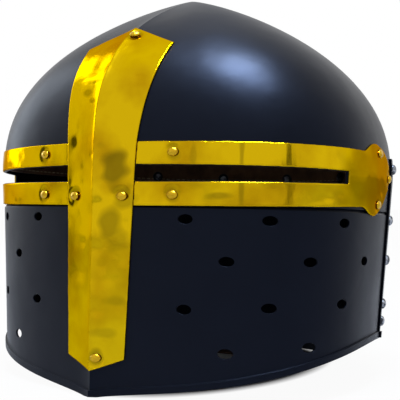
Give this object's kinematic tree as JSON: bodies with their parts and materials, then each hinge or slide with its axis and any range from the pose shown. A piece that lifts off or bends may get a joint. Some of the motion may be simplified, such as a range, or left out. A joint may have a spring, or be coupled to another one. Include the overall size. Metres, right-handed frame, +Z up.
{
  "type": "knight helmet",
  "caption": "Pointed great helm of blackened steel with a riveted brass cross, forked sight strips, oval breath holes, a leather liner and a buckled chin strap.",
  "frame": {"origin": "bottom centre of the bounding box, on the surface the rim stands on, under the middle of the shell", "axes": "+Z up through the pointed crown, -Y the way the face looks, +X towards the wearer's left side, which is on the right in a view of the face"},
  "size_m": [0.285, 0.2756, 0.2647],
  "materials": {
    "shell_steel": "satin blue-black, brushed on by hand",
    "brass": "polished by hand, lightly dented",
    "rivet_steel": "darkened, bright on top",
    "liner_leather": "flesh side out, matte",
    "lace_leather": "round thong, waxed",
    "strap_leather": "dyed dark brown, waxed edges",
    "buckle_brass": "cast and tumbled"
  },
  "bodies": {
    "shell": {"skull": "shell_steel", "face_plate": "shell_steel", "neck_plate": "shell_steel", "nasal_bar": "brass", "cross_arm_right": "brass", "cross_arm_left": "brass", "band_rivets": "brass", "crossing_rivets": "brass", "bar_end_rivets": "brass", "terminal_rivets": "brass", "strap_rivets": "brass", "seam_rivets": "rivet_steel", "lap_rivets": "rivet_steel", "liner_washers": "rivet_steel", "strap_washers": "rivet_steel", "liner_band": "liner_leather", "liner_tongues": "liner_leather", "crown_lace": "lace_leather", "strap_spacers": "strap_leather"},
    "chin_strap": {"long_strap": "strap_leather", "buckle_strap": "strap_leather", "buckle_frame": "buckle_brass", "fold_rivets": "buckle_brass"},
    "prong": {"buckle_prong": "buckle_brass"},
    "keeper": {"strap_keeper": "strap_leather"}
  },
  "joints": [
    {"name": "chin_strap_swing", "type": "hinge", "parent": "shell", "child": "chin_strap", "pos_m": [0, -0.01209, 0.11987], "axis": [1, 0, 0], "range_deg": [-40, 55]},
    {"name": "prong_lift", "type": "hinge", "parent": "chin_strap", "child": "prong", "pos_m": [-0.013, -0.01209, 0.0177], "axis": [0, -1, 0], "range_deg": [0, 5]},
    {"name": "keeper_slide", "type": "slide", "parent": "chin_strap", "child": "keeper", "axis": [1, 0, 0], "range_m": [-0.003, 0.006]}
  ]
}
